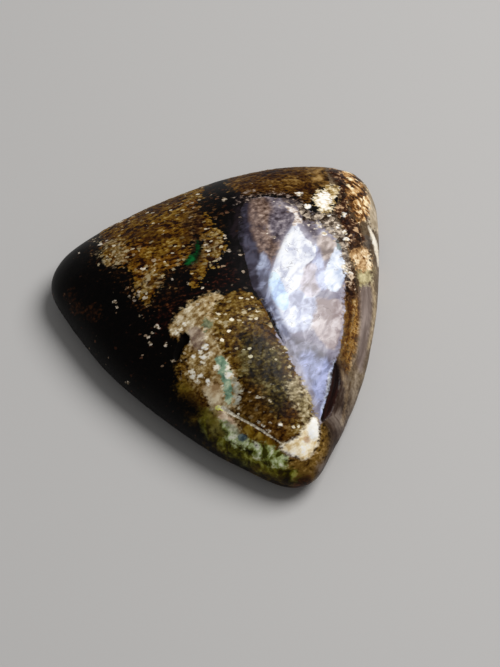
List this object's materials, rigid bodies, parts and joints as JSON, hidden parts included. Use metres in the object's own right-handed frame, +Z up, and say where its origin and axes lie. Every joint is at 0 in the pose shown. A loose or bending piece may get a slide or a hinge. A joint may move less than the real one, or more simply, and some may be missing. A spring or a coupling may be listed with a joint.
{
  "type": "boulder opal",
  "caption": "Rounded three-cornered polished stone with a domed top, one flat opal face and a flat back; a loose specimen that lies on its back.",
  "frame": {"origin": "on the flat back, under the middle of the stone's box", "axes": "+Z up out of the domed top; +Y away from the viewer, along the length; -X towards the pointed left corner"},
  "size_m": [0.033, 0.037, 0.0096],
  "materials": {
    "ironstone_and_opal": "polished dark brown ironstone with golden sandy grain, a pale lavender-blue opal face and cream and green opal streaks"
  },
  "bodies": {
    "root": {"boulder_opal": "ironstone_and_opal"}
  },
  "joints": []
}
